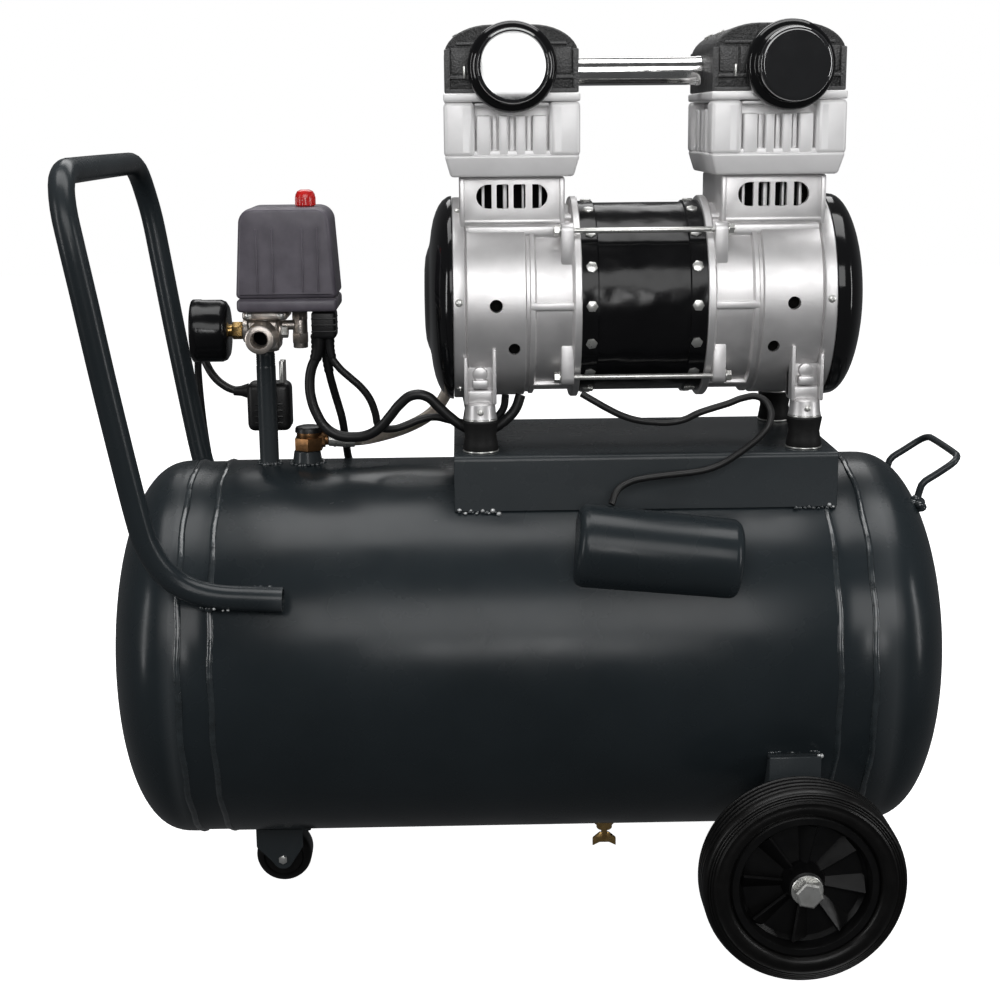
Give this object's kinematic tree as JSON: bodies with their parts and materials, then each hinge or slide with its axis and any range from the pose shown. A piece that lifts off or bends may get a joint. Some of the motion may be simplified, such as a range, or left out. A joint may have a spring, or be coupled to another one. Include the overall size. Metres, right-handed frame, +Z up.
{
  "type": "air compressor",
  "caption": "Oil-free piston air compressor: motor and pump heads with a pressure switch and gauge on a horizontal wheeled tank with a push handle.",
  "frame": {"origin": "on the floor, under the middle of the tank", "axes": "+X along the tank towards the wheeled end, -Y the side with the air outlet and the intake caps, +Z up"},
  "size_m": [0.6736, 0.445, 0.6906],
  "materials": {
    "tank_barrel": "gloss slate-grey powder coat",
    "tank_end_left": "gloss slate-grey powder coat",
    "tank_end_right": "gloss slate-grey powder coat",
    "saddle_plate": "gloss slate-grey powder coat",
    "push_handle": "gloss slate-grey powder coat",
    "lifting_bail": "gloss slate-grey powder coat",
    "tyre_front": "moulded black rubber",
    "tyre_back": "moulded black rubber",
    "wheel_hub_front": "black moulded plastic",
    "wheel_hub_back": "black moulded plastic",
    "axle_bolt_front": "zinc-plated hexagon bolt",
    "axle_bolt_back": "zinc-plated hexagon bolt",
    "caster_plate": "black painted steel",
    "caster_fork": "dark painted pressed steel",
    "caster_wheel": "black rubber",
    "crankcase_left": "satin die casting",
    "crankcase_right": "satin die casting",
    "finned_cylinder_left": "satin die casting",
    "finned_cylinder_right": "satin die casting",
    "head_cover_left": "black textured paint on a casting",
    "head_cover_right": "black textured paint on a casting",
    "intake_cap_left": "gloss black moulding",
    "intake_cap_right": "gloss black moulding",
    "end_bell_left": "gloss black moulding",
    "end_bell_right": "gloss black moulding",
    "motor_stator": "gloss black paint over steel laminations",
    "rotor_shaft": "machined steel",
    "cooling_fan_left": "black moulded plastic",
    "cooling_fan_right": "black moulded plastic",
    "piston_left": "machined casting",
    "piston_right": "machined casting",
    "crossover_pipe": "polished bright tube",
    "tie_rod_upper": "zinc-plated rod",
    "tie_rod_lower": "zinc-plated rod",
    "rubber_mount_left_front": "black rubber",
    "rubber_mount_left_back": "black rubber",
    "rubber_mount_right_front": "black rubber",
    "rubber_mount_right_back": "black rubber",
    "capacitor_housing": "gloss slate-grey powder coat",
    "riser_pipe": "gloss slate-grey powder coat",
    "pressure_manifold": "cast alloy with a brass gauge stem",
    "gauge_case": "black case with a clear lens",
    "gauge_needle": "red needle",
    "switch_base": "dark moulded plastic",
    "switch_cover": "dark grey moulded plastic",
    "switch_knob": "red moulded plastic",
    "cable_gland": "black moulded plastic",
    "unloader_valve": "plated turned metal",
    "safety_valve": "machined brass",
    "safety_ring": "plated wire",
    "check_valve": "machined brass",
    "drain_valve": "machined brass",
    "drain_wing": "machined brass",
    "delivery_hose": "braided sheath over a flexible tube",
    "pump_cable": "black flexible sheath",
    "motor_cable": "black flexible sheath",
    "mains_lead_down": "black flexible sheath",
    "mains_lead_up": "black flexible sheath",
    "mains_lead_coil": "black flexible sheath",
    "mains_plug": "black moulded plug"
  },
  "bodies": {
    "frame": {"tank_barrel": "tank_barrel", "tank_end_left": "tank_end_left", "tank_end_right": "tank_end_right", "saddle_plate": "saddle_plate", "push_handle": "push_handle", "lifting_bail": "lifting_bail", "axle_bolt_front": "axle_bolt_front", "axle_bolt_back": "axle_bolt_back", "caster_plate": "caster_plate", "crankcase_left": "crankcase_left", "crankcase_right": "crankcase_right", "finned_cylinder_left": "finned_cylinder_left", "finned_cylinder_right": "finned_cylinder_right", "head_cover_left": "head_cover_left", "head_cover_right": "head_cover_right", "intake_cap_left": "intake_cap_left", "intake_cap_right": "intake_cap_right", "end_bell_left": "end_bell_left", "end_bell_right": "end_bell_right", "motor_stator": "motor_stator", "crossover_pipe": "crossover_pipe", "tie_rod_upper": "tie_rod_upper", "tie_rod_lower": "tie_rod_lower", "rubber_mount_left_front": "rubber_mount_left_front", "rubber_mount_left_back": "rubber_mount_left_back", "rubber_mount_right_front": "rubber_mount_right_front", "rubber_mount_right_back": "rubber_mount_right_back", "capacitor_housing": "capacitor_housing", "riser_pipe": "riser_pipe", "pressure_manifold": "pressure_manifold", "gauge_case": "gauge_case", "switch_base": "switch_base", "switch_cover": "switch_cover", "cable_gland": "cable_gland", "unloader_valve": "unloader_valve", "safety_valve": "safety_valve", "check_valve": "check_valve", "drain_valve": "drain_valve", "delivery_hose": "delivery_hose", "pump_cable": "pump_cable", "motor_cable": "motor_cable", "mains_lead_down": "mains_lead_down", "mains_lead_up": "mains_lead_up", "mains_lead_coil": "mains_lead_coil", "mains_plug": "mains_plug"},
    "wheel_front": {"tyre_front": "tyre_front", "wheel_hub_front": "wheel_hub_front"},
    "wheel_back": {"tyre_back": "tyre_back", "wheel_hub_back": "wheel_hub_back"},
    "caster_swivel": {"caster_fork": "caster_fork"},
    "caster_roller": {"caster_wheel": "caster_wheel"},
    "rotor": {"rotor_shaft": "rotor_shaft", "cooling_fan_left": "cooling_fan_left", "cooling_fan_right": "cooling_fan_right"},
    "piston_l": {"piston_left": "piston_left"},
    "piston_r": {"piston_right": "piston_right"},
    "knob": {"switch_knob": "switch_knob"},
    "needle": {"gauge_needle": "gauge_needle"},
    "relief_ring": {"safety_ring": "safety_ring"},
    "drain_cock": {"drain_wing": "drain_wing"}
  },
  "joints": [
    {"name": "wheel_front_spin", "type": "hinge", "parent": "frame", "child": "wheel_front", "pos_m": [0.1895, -0.184, 0.075], "axis": [0, 1, 0], "continuous": true},
    {"name": "wheel_back_spin", "type": "hinge", "parent": "frame", "child": "wheel_back", "pos_m": [0.1895, 0.184, 0.075], "axis": [0, 1, 0], "continuous": true},
    {"name": "caster_turn", "type": "hinge", "parent": "frame", "child": "caster_swivel", "pos_m": [-0.204, 0, 0.0509], "axis": [0, 0, 1], "continuous": true},
    {"name": "caster_roll", "type": "hinge", "parent": "caster_swivel", "child": "caster_roller", "pos_m": [-0.2085, 0, 0.0232], "axis": [0, 1, 0], "continuous": true},
    {"name": "rotor_spin", "type": "hinge", "parent": "frame", "child": "rotor", "pos_m": [0.08265, 0, 0.4845], "axis": [1, 0, 0], "continuous": true},
    {"name": "piston_left_stroke", "type": "slide", "parent": "frame", "child": "piston_l", "axis": [0, 0, 1], "range_m": [-0.006, 0.006]},
    {"name": "piston_right_stroke", "type": "slide", "parent": "frame", "child": "piston_r", "axis": [0, 0, 1], "range_m": [-0.006, 0.006]},
    {"name": "knob_pull", "type": "slide", "parent": "frame", "child": "knob", "axis": [0, 0, 1], "range_m": [0, 0.006]},
    {"name": "needle_sweep", "type": "hinge", "parent": "frame", "child": "needle", "pos_m": [-0.2622, 0, 0.461], "axis": [1, 0, 0], "range_deg": [0, 270], "stiffness_Nm_per_rad": 0.0002},
    {"name": "relief_pull", "type": "slide", "parent": "frame", "child": "relief_ring", "axis": [0, 1, 0], "range_m": [0, 0.004], "stiffness_N_per_m": 300},
    {"name": "drain_turn", "type": "hinge", "parent": "frame", "child": "drain_cock", "pos_m": [0.06, 0, 0.034], "axis": [0, 0, 1], "range_deg": [-90, 0]}
  ]
}
